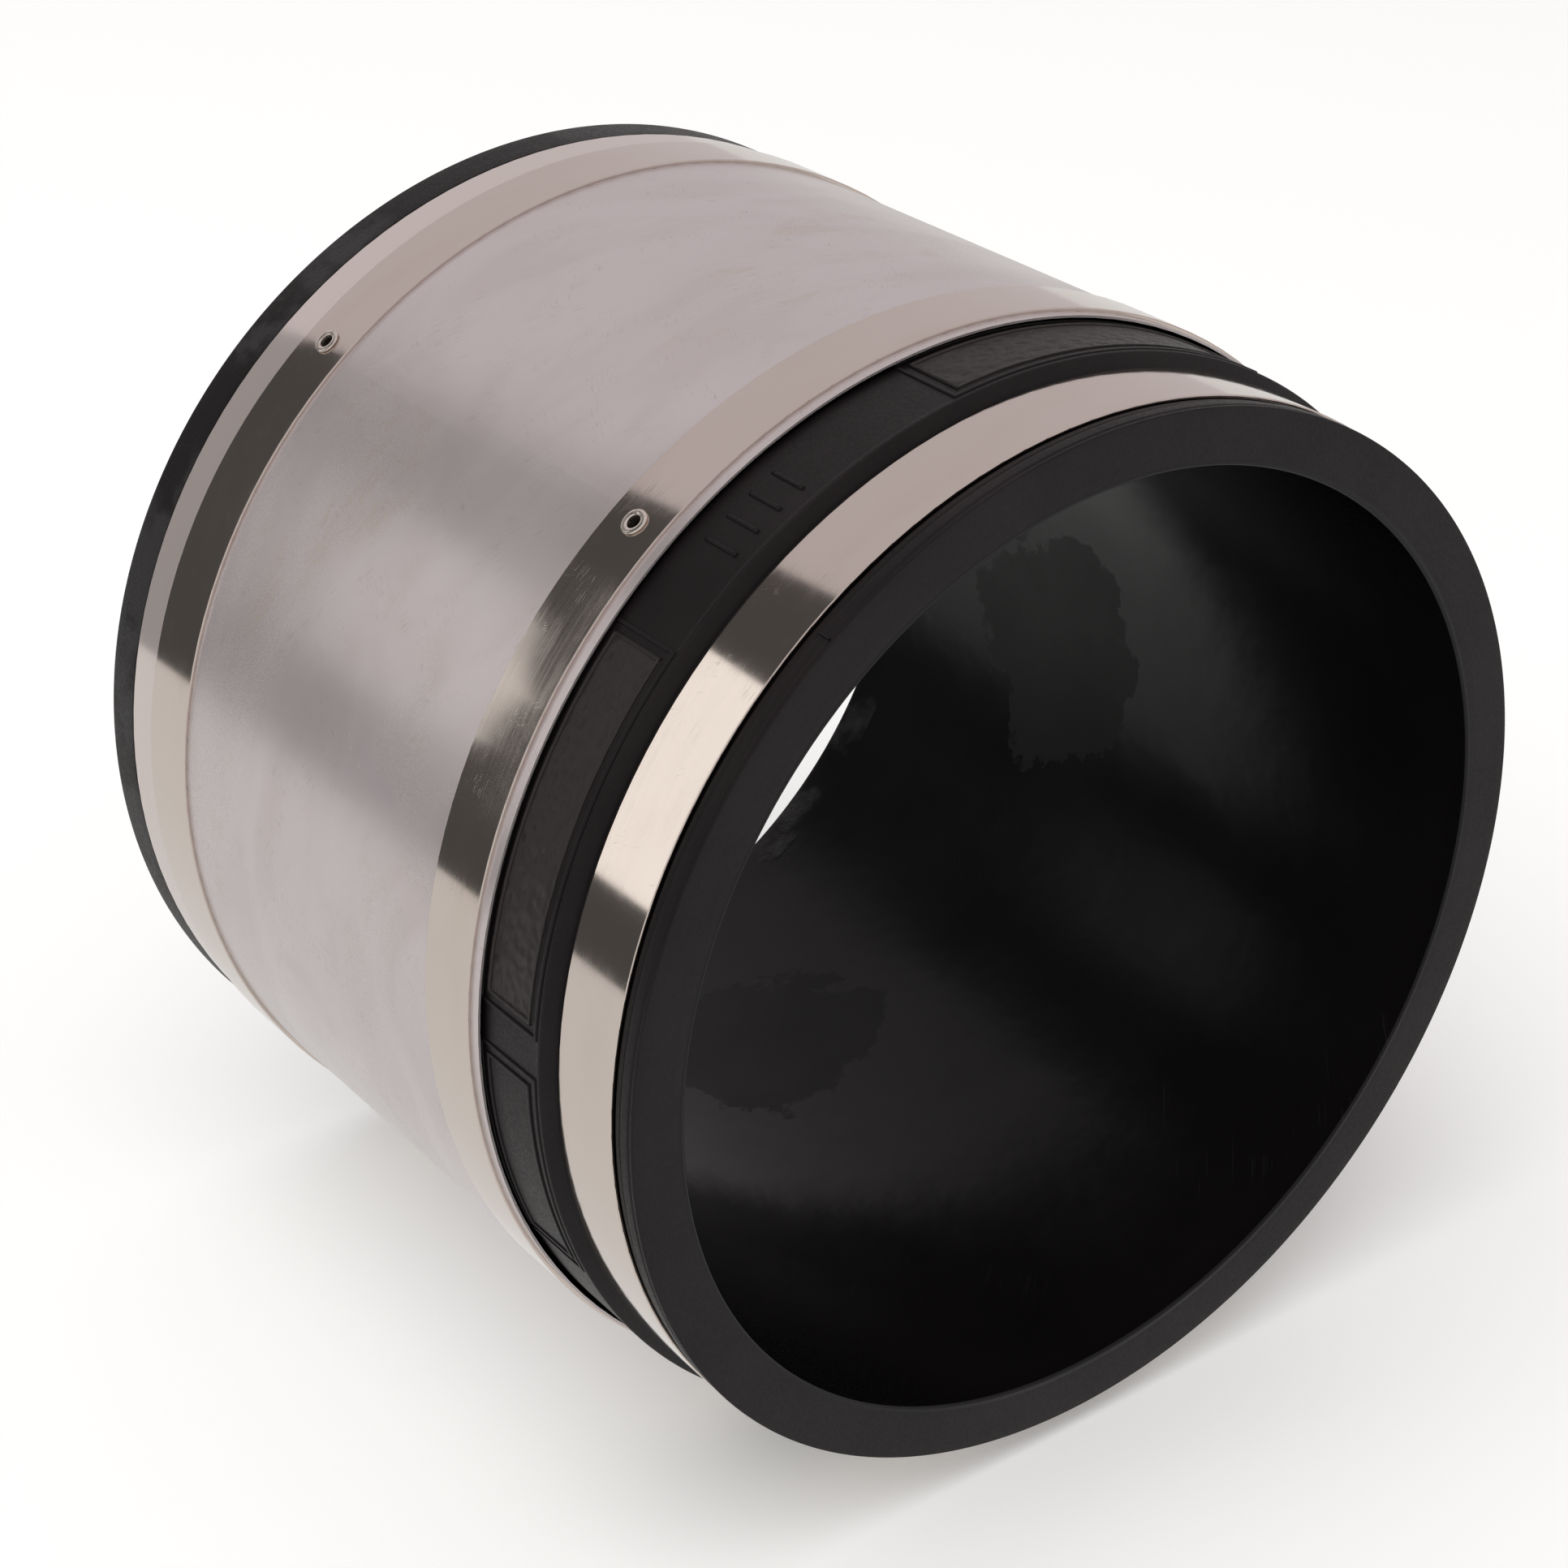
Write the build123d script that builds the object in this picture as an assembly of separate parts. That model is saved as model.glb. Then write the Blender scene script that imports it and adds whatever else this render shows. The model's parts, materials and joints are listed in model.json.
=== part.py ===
from build123d import *
import math
import os

# Shielded repair coupling for a 6-inch pipe.
# The pipe's axis is X. The near end is at +X. +Z is up. The origin is on the axis at mid-length.
# Angles round the axis are measured from +Y towards +Z.

# ---- sleeve ----
SLEEVE_LENGTH = 161.5
NEAR_FACE_X = SLEEVE_LENGTH / 2
FAR_FACE_X = -SLEEVE_LENGTH / 2
BORE_R = 84.2
NEAR_LIP_R = 94.0
NEAR_STEP_R = 93.65
NEAR_LIP_WIDTH = 4.8
LIP_STEP_WIDTH = 1.1
GROOVE_WIDTH = 14.9
GROOVE_R = 93.3
MIDDLE_R = 96.0
SHOULDER_LEDGE = 0.6
SHOULDER_RUN = 1.4
FAR_LIP_R = 97.2
FAR_LIP_WIDTH = 8.2
FACE_CHAMFER = 0.45
BORE_CHAMFER = 0.6

# ---- raised frames moulded on the sleeve's middle ----
FRAME_HEIGHT = 0.3
FRAME_LINE = 0.8
FRAME_START = 22.6
FRAME_LENGTH = 16.0
FRAME_SPANS = ((135.5, 174.5), (178.5, 203.0), (60.0, 99.8))
INNER_LINE_OFFSET = 1.9

# ---- shear ring: thin sheet, lapped on the side where the worm drives sit ----
RING_R_OUT = 97.3
RING_T = 0.4
RING_NEAR_X = NEAR_FACE_X - 37.2
RING_FAR_X = FAR_FACE_X + FAR_LIP_WIDTH + 0.4
LAP_GAP = 0.05
LAP_HALF_DEG = 6.0
LAP_RAMP_DEG = 1.2
LAP_RAMP_CLEARANCE_DEG = 0.4

# ---- bands ----
END_BAND_WIDTH = 14.2
RING_BAND_WIDTH = 12.7
BAND_T = 0.6
BAND_EDGE_ROUND = 0.2
END_BAND_GAP = 0.3
NEAR_END_X = NEAR_FACE_X - NEAR_LIP_WIDTH - GROOVE_WIDTH / 2
NEAR_RING_X = NEAR_FACE_X - 45.7
FAR_RING_X = NEAR_FACE_X - 138.9
NEAR_END_R = GROOVE_R + END_BAND_GAP
TAIL_DEG = 20.0
TAIL_CORNER_CUT = 4.0
TAIL_END_MARGIN_DEG = 3.0
STRIP_START_DEG = 87.9
STRIP_CLIMB_DEG = (84.9, 87.3)
SLOT_START_DEG = -1.0
SLOT_LENGTH = 8.0
SLOT_WIDTH = 1.3
SLOT_LEAN_DEG = 9.0

# ---- worm drives ----
DRIVE_DEG = 307.7
SADDLE_T = 0.6
LAYER_GAP = 0.05
SADDLE_OVERHANG = 0.7
SADDLE_SPAN_DEG = (88.1, 95.8)
HOUSING_T = 0.6
HOUSING_HALF_LENGTH = 8.5
HOUSING_LEG_HEIGHT = 2.4
DOME_R_IN = 3.8
END_WALL_T = 0.8
END_WALL_OVERLAP = 0.2
THREAD_R = 3.2
ROOT_R = 2.5
THREAD_PITCH = 3.0
THREAD_HALF_LENGTH = 6.6
TOOTH_ROOT_HALF = 0.9
TOOTH_CREST_HALF = 0.35
THREAD_TO_BAND = 0.3
SHANK_R = 2.3
TIP_R = 2.0
TIP_STANDOUT = 0.4
HEAD_CLEARANCE = 0.5
RUNNING_GAP = 0.08
WASHER_R = 4.4
WASHER_T = 1.0
HEX_ACROSS_FLATS = 7.94
HEX_HEIGHT = 4.5
HEX_CHAMFER = 0.4
DRIVER_SLOT_WIDTH = 1.2
DRIVER_SLOT_DEPTH = 1.5

# ---- eyelets ----
EYELET_DEG = 127.7
EYELET_HOLE_R = 1.15
EYELET_BARREL_R = 1.6
EYELET_FLANGE_R = 2.35
EYELET_FLANGE_T = 0.55
EYELET_CLINCH_R = 2.2
EYELET_CLINCH_T = 0.3
EYELET_RIM_ROUND = 0.385

# ---- modelling ----
CUT_PAST = 3.0          # how far a cutting solid runs past what it cuts
FUSE_OVERLAP = 0.5      # how deep an added solid sinks into what it joins
FUSE_OVERLAP_DEG = 0.02
THREAD_SINK = 0.1       # how deep the thread's root sinks into the screw's core

os.makedirs("parts", exist_ok=True)


def point_at(radius, degrees):
    """A point in the section across the pipe."""
    a = math.radians(degrees)
    return (radius * math.cos(a), radius * math.sin(a))


def across(section, x_low, x_high):
    """Stand a section drawn in (Y, Z) up and run it along X from x_low to x_high."""
    plane = Plane(origin=(x_low, 0, 0), x_dir=(0, 1, 0), z_dir=(1, 0, 0))
    return extrude(plane * section, x_high - x_low)


def arc_strip(r_in, r_out, deg_a, deg_b):
    """A flat sector of a ring, drawn in (Y, Z)."""
    mid = (deg_a + deg_b) / 2
    outer = ThreePointArc(point_at(r_out, deg_a), point_at(r_out, mid), point_at(r_out, deg_b))
    end_b = Line(point_at(r_out, deg_b), point_at(r_in, deg_b))
    inner = ThreePointArc(point_at(r_in, deg_b), point_at(r_in, mid), point_at(r_in, deg_a))
    end_a = Line(point_at(r_in, deg_a), point_at(r_out, deg_a))
    return make_face([outer, end_b, inner, end_a])


def ramp_piece(r_from, deg_from, r_to, deg_to, thickness):
    """A short straight piece of strip that climbs from one radius to another."""
    return make_face(
        Polyline(
            point_at(r_from, deg_from),
            point_at(r_from + thickness, deg_from),
            point_at(r_to + thickness, deg_to),
            point_at(r_to, deg_to),
            close=True,
        )
    )


def to_drive(shape):
    """Turn a shape built round local +Z to the side where the worm drives sit."""
    return shape.rotate(Axis.X, DRIVE_DEG - 90)


def radial_cylinder(radius, r_low, r_high, x):
    """A cylinder that stands out from the axis at the eyelets' angle."""
    body = Pos(x, 0, r_low) * Cylinder(radius, r_high - r_low, align=(Align.CENTER, Align.CENTER, Align.MIN))
    return body.rotate(Axis.X, EYELET_DEG - 90)


def sleeve_profile():
    """Half section of the sleeve, drawn as (X, radius)."""
    groove_near = NEAR_FACE_X - NEAR_LIP_WIDTH
    groove_far = groove_near - GROOVE_WIDTH
    far_lip = FAR_FACE_X + FAR_LIP_WIDTH
    step_x = groove_near + LIP_STEP_WIDTH
    corners = [
        (NEAR_FACE_X - BORE_CHAMFER, BORE_R),
        (NEAR_FACE_X, BORE_R + BORE_CHAMFER),
        (NEAR_FACE_X, NEAR_LIP_R - FACE_CHAMFER),
        (NEAR_FACE_X - FACE_CHAMFER, NEAR_LIP_R),
        (step_x + 0.3, NEAR_LIP_R),
        (step_x, NEAR_STEP_R),
        (groove_near, NEAR_STEP_R),
        (groove_near, GROOVE_R),
        (groove_far - SHOULDER_LEDGE, GROOVE_R),
        (groove_far - SHOULDER_LEDGE - SHOULDER_RUN, MIDDLE_R),
        (far_lip, MIDDLE_R),
        (far_lip, FAR_LIP_R),
        (FAR_FACE_X + FACE_CHAMFER, FAR_LIP_R),
        (FAR_FACE_X, FAR_LIP_R - FACE_CHAMFER),
        (FAR_FACE_X, BORE_R + BORE_CHAMFER),
        (FAR_FACE_X + BORE_CHAMFER, BORE_R),
    ]
    return make_face(Polyline(*corners, close=True))


def frame_lines(deg_a, deg_b, inset):
    """One raised rectangle of lines, wrapped on the sleeve's middle."""
    x_high = NEAR_FACE_X - FRAME_START - inset
    x_low = NEAR_FACE_X - FRAME_START - FRAME_LENGTH + inset
    inset_deg = math.degrees(inset / MIDDLE_R)
    line_deg = math.degrees(FRAME_LINE / MIDDLE_R)
    deg_a = deg_a + inset_deg
    deg_b = deg_b - inset_deg
    r_in = MIDDLE_R - FUSE_OVERLAP
    r_out = MIDDLE_R + FRAME_HEIGHT
    outer = across(arc_strip(r_in, r_out, deg_a, deg_b), x_low, x_high)
    window = across(
        arc_strip(r_in - CUT_PAST, r_out + CUT_PAST, deg_a + line_deg, deg_b - line_deg),
        x_low + FRAME_LINE,
        x_high - FRAME_LINE,
    )
    return outer - window


def rubber_sleeve():
    """The elastomer sleeve: lips, band groove, raised middle, moulded frames and a smooth bore."""
    plane = Plane(origin=(0, 0, 0), x_dir=(1, 0, 0), z_dir=(0, -1, 0))
    sleeve = revolve(plane * sleeve_profile(), Axis.X)
    for deg_a, deg_b in FRAME_SPANS:
        sleeve += frame_lines(deg_a, deg_b, 0)
        sleeve += frame_lines(deg_a, deg_b, INNER_LINE_OFFSET)
    return sleeve


def shear_ring():
    """Thin sheet rolled once round, with one end lapped under the other and two rivet holes."""
    r_in = RING_R_OUT - RING_T
    r_under = r_in - RING_T - LAP_GAP
    outer_start = DRIVE_DEG - LAP_HALF_DEG
    ramp_end = outer_start + 360 - LAP_RAMP_CLEARANCE_DEG
    ramp_start = ramp_end - LAP_RAMP_DEG
    under_end = DRIVE_DEG + LAP_HALF_DEG + 360
    section = arc_strip(r_in, RING_R_OUT, outer_start, ramp_start + FUSE_OVERLAP_DEG)
    section += ramp_piece(r_in, ramp_start, r_under, ramp_end, RING_T)
    section += arc_strip(r_under, r_under + RING_T, ramp_end - FUSE_OVERLAP_DEG, under_end)
    sheet = across(section, RING_FAR_X, RING_NEAR_X)
    for x in (NEAR_RING_X, FAR_RING_X):
        sheet -= radial_cylinder(EYELET_BARREL_R, RING_R_OUT - CUT_PAST, RING_R_OUT + CUT_PAST, x)
    return sheet


def tail_radius(r_in):
    """Inner radius of the strip where it runs over its own start and the saddle."""
    return r_in + BAND_T + LAYER_GAP + SADDLE_T + LAYER_GAP


def screw_height(r_in):
    """Distance from the pipe's axis to the screw's axis."""
    return tail_radius(r_in) + BAND_T + THREAD_TO_BAND + THREAD_R


def band_section(r_in):
    """The strip in section: once round, then up over its own start and out as a free tail."""
    entry = 360 + STRIP_CLIMB_DEG[0]
    level = 360 + STRIP_CLIMB_DEG[1]
    tail_end = 360 + 90 + TAIL_DEG
    r_tail = tail_radius(r_in)
    section = arc_strip(r_in, r_in + BAND_T, STRIP_START_DEG, entry + FUSE_OVERLAP_DEG)
    section += ramp_piece(r_in, entry, r_tail, level, BAND_T)
    section += arc_strip(r_tail, r_tail + BAND_T, level - FUSE_OVERLAP_DEG, tail_end)
    return section


def round_long_edges(band, r_in):
    """Ease the band's two long outer edges."""
    r_out = r_in + BAND_T
    edges = [
        e for e in band.edges().filter_by(GeomType.CIRCLE)
        if abs(e.radius - r_out) < 0.01 and e.length > 100
    ]
    return fillet(edges, BAND_EDGE_ROUND)


def tail_slots(r_in, x):
    """The slanted slots that the worm's thread drives."""
    r_mid = tail_radius(r_in) + BAND_T / 2
    step_deg = math.degrees(THREAD_PITCH / r_mid)
    slots = []
    angle = SLOT_START_DEG
    while angle < TAIL_DEG - TAIL_END_MARGIN_DEG:
        slot = Pos(x, 0, r_mid) * Rot(0, 0, SLOT_LEAN_DEG) * Box(SLOT_LENGTH, SLOT_WIDTH, 2 * SADDLE_T)
        slots.append(slot.rotate(Axis.X, angle))
        angle += step_deg
    return slots


def tail_corners(r_in, x, width):
    """Wedges that take the sharp corners off the free end of the tail."""
    r_mid = tail_radius(r_in) + BAND_T / 2
    cutter = Box(TAIL_CORNER_CUT, TAIL_CORNER_CUT, 2 * SADDLE_T)
    wedges = []
    for side in (-1, 1):
        wedge = Pos(x + side * width / 2, 0, r_mid) * Rot(0, 0, 45) * cutter
        wedges.append(wedge.rotate(Axis.X, TAIL_DEG))
    return wedges


def band(r_in, x, width, riveted):
    """A stainless strip band with its slotted tail."""
    strip = across(band_section(r_in), x - width / 2, x + width / 2)
    strip = round_long_edges(strip, r_in)
    for slot in tail_slots(r_in, x):
        strip -= slot
    for wedge in tail_corners(r_in, x, width):
        strip -= wedge
    strip = to_drive(strip)
    if riveted:
        strip -= radial_cylinder(EYELET_BARREL_R, r_in - CUT_PAST, r_in + CUT_PAST, x)
    return strip


def saddle(r_in, x, width):
    """The curved plate between the strip's start and its tail, which carries the housing."""
    r_low = r_in + BAND_T + LAYER_GAP
    section = arc_strip(r_low, r_low + SADDLE_T, *SADDLE_SPAN_DEG)
    half = width / 2 + SADDLE_OVERHANG
    plate = across(section, x - half, x + half)
    return to_drive(plate)


def housing_outline(half_leg, half_dome, z_low, z_step, z_axis):
    """One outline of the housing's sheet, drawn as (X, Z)."""
    left = Polyline((-half_dome, z_axis), (-half_dome, z_step), (-half_leg, z_step), (-half_leg, z_low))
    foot = Line((-half_leg, z_low), (half_leg, z_low))
    right = Polyline((half_leg, z_low), (half_leg, z_step), (half_dome, z_step), (half_dome, z_axis))
    top = ThreePointArc((half_dome, z_axis), (0, z_axis + half_dome), (-half_dome, z_axis))
    return make_face([left, foot, right, top])


def end_wall_outline(half, z_low, z_axis):
    """The outline of one end wall, drawn as (X, Z)."""
    sides = Polyline((-half, z_axis), (-half, z_low), (half, z_low), (half, z_axis))
    top = ThreePointArc((half, z_axis), (0, z_axis + half), (-half, z_axis))
    return make_face([sides, top])


def along_drive(section, x, y_low, y_high):
    """Run a section drawn in (X, Z) along local Y."""
    plane = Plane(origin=(x, y_low, 0), x_dir=(-1, 0, 0), z_dir=(0, 1, 0))
    return extrude(plane * section, y_high - y_low)


def drive_cylinder(radius, x, z, y_low, y_high):
    """A round bar along local Y on the screw's axis."""
    bar = Pos(x, (y_low + y_high) / 2, z) * Rot(90, 0, 0) * Cylinder(radius, y_high - y_low)
    return bar


def housing(r_in, x, width):
    """The domed sheet housing over the worm, with an end wall at each end for its bearings."""
    r_base = r_in + BAND_T
    z_axis = screw_height(r_in)
    half_leg = width / 2 + SADDLE_OVERHANG
    z_step = r_base + HOUSING_LEG_HEIGHT
    length = HOUSING_HALF_LENGTH
    outer = housing_outline(half_leg, DOME_R_IN + HOUSING_T, r_base - CUT_PAST, z_step, z_axis)
    inner = housing_outline(
        half_leg - HOUSING_T, DOME_R_IN, r_base - 2 * CUT_PAST, z_step - HOUSING_T, z_axis
    )
    shell = along_drive(outer, x, -length, length)
    shell -= along_drive(inner, x, -length - CUT_PAST, length + CUT_PAST)
    wall = end_wall_outline(DOME_R_IN + END_WALL_OVERLAP, z_step - HOUSING_T, z_axis)
    for y_low, y_high in ((-length, -length + END_WALL_T), (length - END_WALL_T, length)):
        shell += along_drive(wall, x, y_low, y_high)
    shell -= drive_cylinder(SHANK_R + RUNNING_GAP, x, z_axis, 0, length + CUT_PAST)
    shell -= drive_cylinder(TIP_R + RUNNING_GAP, x, z_axis, -length - CUT_PAST, 0)
    saddle_top = r_base + LAYER_GAP + SADDLE_T
    core = Pos(x, 0, 0) * Rot(0, 90, 0) * Cylinder(saddle_top, 2 * width)
    return to_drive(shell - core)


def worm_thread(x, z):
    """One helical ridge round the worm's core."""
    length = 2 * THREAD_HALF_LENGTH - THREAD_PITCH
    path = Helix(pitch=THREAD_PITCH, height=length, radius=ROOT_R - THREAD_SINK)
    depth = THREAD_R - ROOT_R + THREAD_SINK
    start = path @ 0
    plane = Plane(origin=start, x_dir=(1, 0, 0), z_dir=path % 0)
    tooth = Polyline(
        (0, -TOOTH_ROOT_HALF),
        (0, TOOTH_ROOT_HALF),
        (depth, TOOTH_CREST_HALF),
        (depth, -TOOTH_CREST_HALF),
        close=True,
    )
    ridge = sweep(plane * make_face(tooth), path=path, is_frenet=True)
    return Pos(x, length / 2, z) * Rot(90, 0, 0) * ridge


def worm_screw(r_in, x):
    """Slotted hexagon washer-head worm screw."""
    z = screw_height(r_in)
    head_from = HOUSING_HALF_LENGTH + HEAD_CLEARANCE
    hex_from = head_from + WASHER_T
    screw = drive_cylinder(ROOT_R, x, z, -THREAD_HALF_LENGTH, THREAD_HALF_LENGTH)
    screw += worm_thread(x, z)
    screw += drive_cylinder(SHANK_R, x, z, THREAD_HALF_LENGTH - FUSE_OVERLAP, head_from + WASHER_T / 2)
    tip_end = -HOUSING_HALF_LENGTH - TIP_STANDOUT
    screw += drive_cylinder(TIP_R, x, z, tip_end, -THREAD_HALF_LENGTH + FUSE_OVERLAP)
    screw += drive_cylinder(WASHER_R, x, z, head_from, hex_from)
    hexagon = RegularPolygon(HEX_ACROSS_FLATS / 2, 6, major_radius=False)
    head = extrude(hexagon, HEX_HEIGHT)
    head = chamfer(head.faces().sort_by(Axis.Z)[-1].edges(), HEX_CHAMFER)
    screw += Pos(x, hex_from, z) * Rot(-90, 0, 0) * head
    slot_y = hex_from + HEX_HEIGHT - DRIVER_SLOT_DEPTH / 2
    screw -= Pos(x, slot_y, z) * Box(2 * WASHER_R, DRIVER_SLOT_DEPTH, DRIVER_SLOT_WIDTH)
    return to_drive(screw)


def eyelet(x):
    """A hollow rivet: rolled flange outside, barrel through band and sheet, clinch inside."""
    r_top = RING_R_OUT + BAND_T
    r_bottom = RING_R_OUT - RING_T
    body = radial_cylinder(EYELET_BARREL_R, r_bottom - EYELET_CLINCH_T, r_top + EYELET_FLANGE_T, x)
    flange = Cylinder(EYELET_FLANGE_R, EYELET_FLANGE_T, align=(Align.CENTER, Align.CENTER, Align.MIN))
    rim = flange.faces().sort_by(Axis.Z)[-1].edges()
    flange = fillet(rim, EYELET_RIM_ROUND)
    flange = Pos(x, 0, r_top) * flange
    body += flange.rotate(Axis.X, EYELET_DEG - 90)
    body += radial_cylinder(EYELET_CLINCH_R, r_bottom - EYELET_CLINCH_T, r_bottom, x)
    hole = radial_cylinder(EYELET_HOLE_R, r_bottom - CUT_PAST, r_top + CUT_PAST, x)
    body -= hole
    reach = EYELET_FLANGE_R + CUT_PAST
    curve_out = across(Circle(r_top), x - reach, x + reach)
    curve_in = across(Circle(r_bottom), x - reach, x + reach)
    sheet_zone = curve_out - curve_in
    wide = radial_cylinder(reach, r_bottom - CUT_PAST, r_top + CUT_PAST, x)
    barrel = radial_cylinder(EYELET_BARREL_R, r_bottom - 2 * CUT_PAST, r_top + 2 * CUT_PAST, x)
    return body - (sheet_zone & (wide - barrel))


def drive_set(name, r_in, x, width, riveted):
    """Write one clamp's band, saddle, housing and screw."""
    export_step(band(r_in, x, width, riveted), f"parts/{name}_band.step")
    export_step(saddle(r_in, x, width), f"parts/{name}_saddle.step")
    export_step(housing(r_in, x, width), f"parts/{name}_housing.step")
    export_step(worm_screw(r_in, x), f"parts/{name}_screw.step")


export_step(rubber_sleeve(), "parts/rubber_sleeve.step")
export_step(shear_ring(), "parts/shear_ring.step")
drive_set("near_end", NEAR_END_R, NEAR_END_X, END_BAND_WIDTH, False)
drive_set("near_ring", RING_R_OUT, NEAR_RING_X, RING_BAND_WIDTH, True)
drive_set("far_ring", RING_R_OUT, FAR_RING_X, RING_BAND_WIDTH, True)
export_step(eyelet(NEAR_RING_X), "parts/near_ring_eyelet.step")
export_step(eyelet(FAR_RING_X), "parts/far_ring_eyelet.step")
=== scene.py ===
import json
import math

import bmesh
import bpy
import numpy as np
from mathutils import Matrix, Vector


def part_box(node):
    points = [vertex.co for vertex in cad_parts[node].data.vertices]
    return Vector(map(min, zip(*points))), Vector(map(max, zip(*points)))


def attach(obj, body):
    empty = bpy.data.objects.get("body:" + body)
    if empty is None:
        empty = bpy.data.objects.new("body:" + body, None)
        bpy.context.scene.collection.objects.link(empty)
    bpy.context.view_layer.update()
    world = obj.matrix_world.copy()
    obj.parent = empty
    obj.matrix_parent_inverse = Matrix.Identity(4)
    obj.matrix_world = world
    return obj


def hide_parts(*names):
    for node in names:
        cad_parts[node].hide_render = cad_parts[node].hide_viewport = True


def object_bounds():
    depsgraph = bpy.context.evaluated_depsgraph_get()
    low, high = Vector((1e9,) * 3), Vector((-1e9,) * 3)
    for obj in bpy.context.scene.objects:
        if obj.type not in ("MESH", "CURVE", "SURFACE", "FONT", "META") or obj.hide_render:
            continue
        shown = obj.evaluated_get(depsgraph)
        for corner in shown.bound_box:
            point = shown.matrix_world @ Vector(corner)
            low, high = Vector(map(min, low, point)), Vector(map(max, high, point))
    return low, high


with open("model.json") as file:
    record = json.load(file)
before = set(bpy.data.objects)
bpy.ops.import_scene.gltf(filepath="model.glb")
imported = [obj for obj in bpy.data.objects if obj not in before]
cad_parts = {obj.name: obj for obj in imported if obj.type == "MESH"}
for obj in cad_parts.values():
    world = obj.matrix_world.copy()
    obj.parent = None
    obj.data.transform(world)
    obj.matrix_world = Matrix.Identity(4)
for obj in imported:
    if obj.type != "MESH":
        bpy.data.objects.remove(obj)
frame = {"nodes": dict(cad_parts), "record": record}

cad_low, cad_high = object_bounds()

# ---- places, in metres, worked out from the frame ----
sleeve_low, sleeve_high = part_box("rubber_sleeve")
far_band_low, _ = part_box("far_ring_band")
NEAR_FACE = sleeve_high.x
FAR_FACE = sleeve_low.x
FAR_LIP_R = sleeve_high.z
BORE_R = next(m for m in frame["record"]["mounts"] if m["name"] == "pipe_bore")["dims"]["r_mm"] / 1000
FLOOR_Z = cad_low.z
MM = 0.001

# ---- the sleeve's own sizes ----
NEAR_LIP_R = 94.0 * MM
NEAR_STEP_R = 93.65 * MM
NEAR_LIP_WIDTH = 4.8 * MM
GROOVE_WIDTH = 14.9 * MM
GROOVE_R = 93.3 * MM
MIDDLE_R = 96.0 * MM
FAR_LIP_WIDTH = 8.2 * MM
LONGEST_RUN = 2.5 * MM
SLEEVE_TURNS = 720
NEAR_SLACK_REACH = 7 * MM
FAR_SLACK_REACH = 6 * MM

# ---- what is moulded on its middle, with angles in degrees round the pipe ----
FRAME_SPANS = ((135.5, 174.5), (178.5, 203.0), (60.0, 99.8))
PEBBLED_SPANS = (FRAME_SPANS[0], FRAME_SPANS[2])
PEBBLED_MARGIN_DEG = 1.4
FRAME_START = 22.6 * MM
FRAME_LENGTH = 16.0 * MM
INNER_LINE_OFFSET = 1.9 * MM
LINE_WIDTH = 0.8 * MM
LINE_HEIGHT = 0.3 * MM
BEAD_SECTION = ((-1.0, -0.9), (-0.86, 0.7), (-0.6, 1.0), (0.0, 1.0), (0.6, 1.0), (0.86, 0.7), (1.0, -0.9))
BEAD_STEP = 0.8 * MM
RIB_COUNT = 4
RIB_START_DEG = 116.6
RIB_PITCH_DEG = 2.9
RIB_NEAR = 25.5 * MM
RIB_FAR = 33.0 * MM
RIDGE_DEG = 127.3

# ---- the eyelets ----
EYELET_DEG = 127.7
BAND_OUTSIDE_R = 97.9 * MM
EYELET_TURNS = 64
ROLL_STEPS = 17

# ---- dull areas in the bore, as (x in mm, degrees, half length in mm, half width in degrees) ----
DULL_PATCHES = ((-27.0, -8.0, 23.0, 17.0), (-33.0, 281.0, 21.0, 15.0))

# ---- colours, linear ----
BLACK = (0.0, 0.0, 0.0)
LAMP_WHITE = (1.0, 0.985, 0.965)
PAPER_WHITE = (0.92, 0.955, 0.945)
ROOM_TINT = (1.0, 0.93, 0.945, 1)
STRIP_WARM = (0.655, 0.58, 0.53, 1)
STRIP_CLOUD = (0.635, 0.555, 0.50, 1)
SHEET_PALE = (0.57, 0.522, 0.524, 1)
SHEET_CLOUD = (0.532, 0.484, 0.48, 1)
SHEET_STAIN = (0.50, 0.44, 0.38, 1)
SHEET_FLECK = (0.30, 0.26, 0.235, 1)
SHEET_SCRATCH = (0.36, 0.32, 0.31, 1)
SHEET_MARGIN = (0.62, 0.56, 0.53, 1)
EYELET_BRIGHT = (0.80, 0.74, 0.68, 1)
EYELET_TARNISH = (0.60, 0.53, 0.46, 1)
SCREW_BRIGHT = (0.62, 0.61, 0.59, 1)
SCREW_DULL = (0.47, 0.46, 0.43, 1)
RUBBER_DARK = (0.0052, 0.0038, 0.0042, 1)
RUBBER_PALE = (0.0088, 0.0067, 0.0071, 1)
RUBBER_DUST = (0.06, 0.056, 0.053, 1)
RUBBER_PEBBLED = (0.027, 0.0235, 0.0222, 1)
RUBBER_WORN = (0.028, 0.0275, 0.028, 1)
# The bore's base colour is darker than the outside rubber's: painted shade inside the bore.
BORE_PAINTED_SHADE = (0.0042, 0.0037, 0.0042, 1)
BORE_DULL = (0.0070, 0.0064, 0.0064, 1)
BORE_RUBBED = (0.02, 0.019, 0.019, 1)

# ---- the stage ----
FLOOR_HALF = 20.0
DOME_R = 4.0
DOME_RINGS = 12
DOME_TURNS = 48
CARD_DISTANCE = 0.42
DARK_SCREEN_TOP = 1.1
DARK_SCREEN_PATH = (
    (-0.74, -0.27),
    (-0.66, -0.36),
    (-0.54, -0.42),
    (-0.40, -0.46),
    (-0.20, -0.47),
    (-0.02, -0.47),
)
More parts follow.
